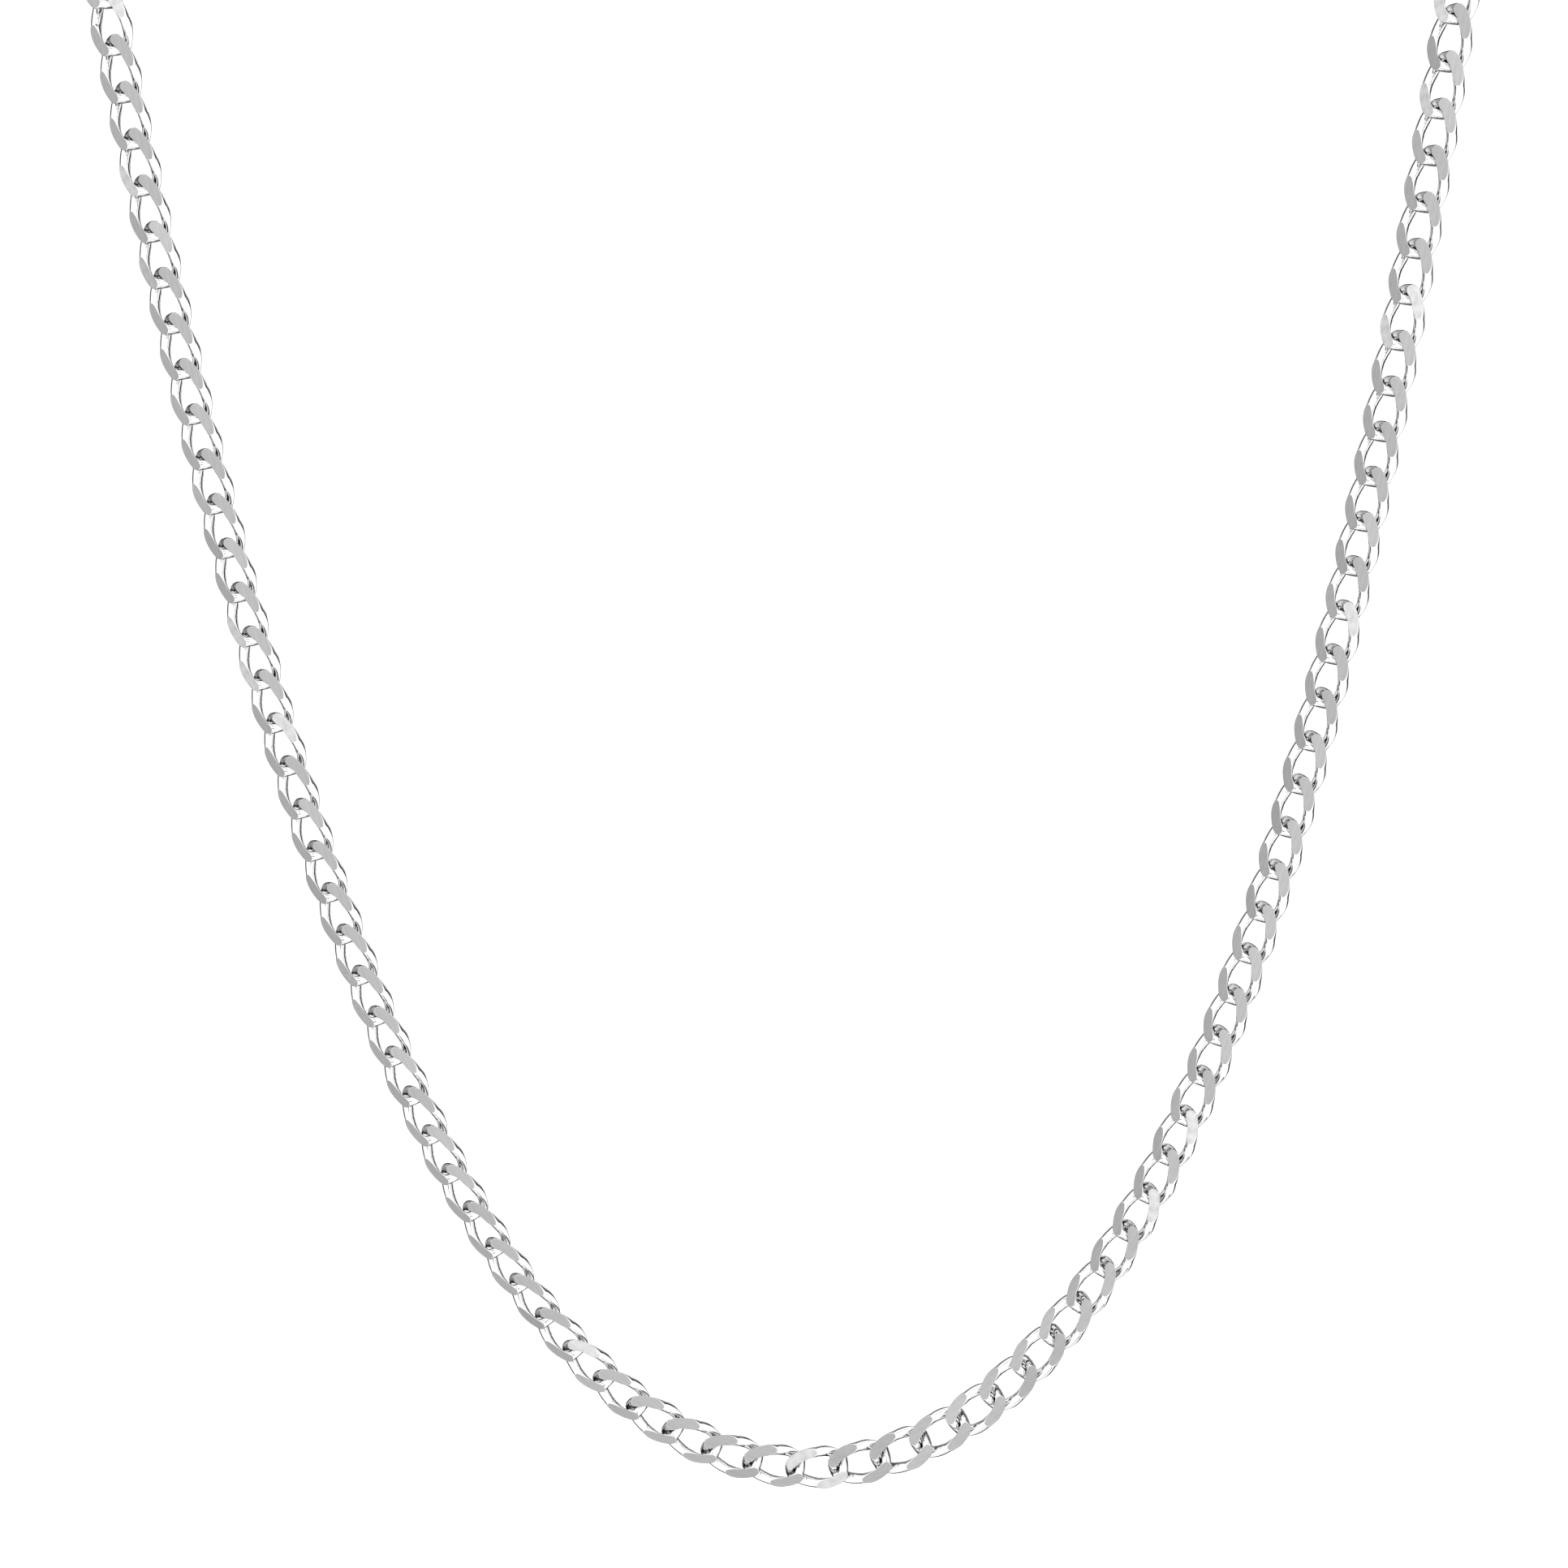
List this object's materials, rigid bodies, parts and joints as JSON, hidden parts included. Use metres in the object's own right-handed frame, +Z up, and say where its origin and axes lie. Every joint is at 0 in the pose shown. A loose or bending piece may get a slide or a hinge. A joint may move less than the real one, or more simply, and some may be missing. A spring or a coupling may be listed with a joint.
{
  "type": "curb chain necklace",
  "caption": "Silver curb chain necklace hanging in a free loop, with ground oval links and a plain lobster clasp between soldered rings behind the neck.",
  "frame": {"origin": "middle of the neck opening, at the level of the stretch that lies round the neck", "axes": "+Z up, -Y to the front where the strands hang, +Y to the nape and clasp, +X to the picture's right"},
  "size_m": [0.125, 0.0779, 0.1541],
  "materials": {
    "link_silver": "polished silver wire with finely ground flat faces",
    "clasp_silver": "polished silver"
  },
  "bodies": {
    "root": {"chain_left": "link_silver", "chain_right": "link_silver", "clasp_ring": "clasp_silver", "clasp": "clasp_silver", "catch_ring": "clasp_silver"}
  },
  "joints": []
}
